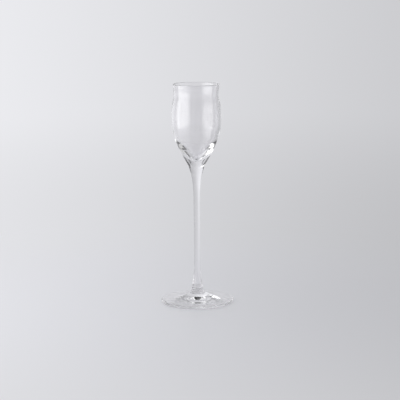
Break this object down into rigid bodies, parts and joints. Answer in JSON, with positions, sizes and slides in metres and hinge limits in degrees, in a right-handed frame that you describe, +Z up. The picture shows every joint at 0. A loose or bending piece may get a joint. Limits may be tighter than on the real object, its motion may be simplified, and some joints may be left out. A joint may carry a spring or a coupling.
{
  "type": "grappa glass",
  "caption": "Clear tulip-shaped spirit glass: a small bowl with a drawn-in neck and flared lip, on a slim tapered stem and a wide, flat round foot.",
  "frame": {"origin": "centre of the ring under the foot on which the glass stands", "axes": "+Z up along the stem, from the foot to the rim; X and Y are alike, because the glass is round"},
  "size_m": [0.0682, 0.0682, 0.205],
  "materials": {
    "foot_glass": "clear, spun and fire-polished",
    "stem_glass": "clear, drawn",
    "bowl_glass": "clear, blown, with a fire-polished rim"
  },
  "bodies": {
    "root": {"foot": "foot_glass", "stem": "stem_glass", "bowl": "bowl_glass"}
  },
  "joints": []
}
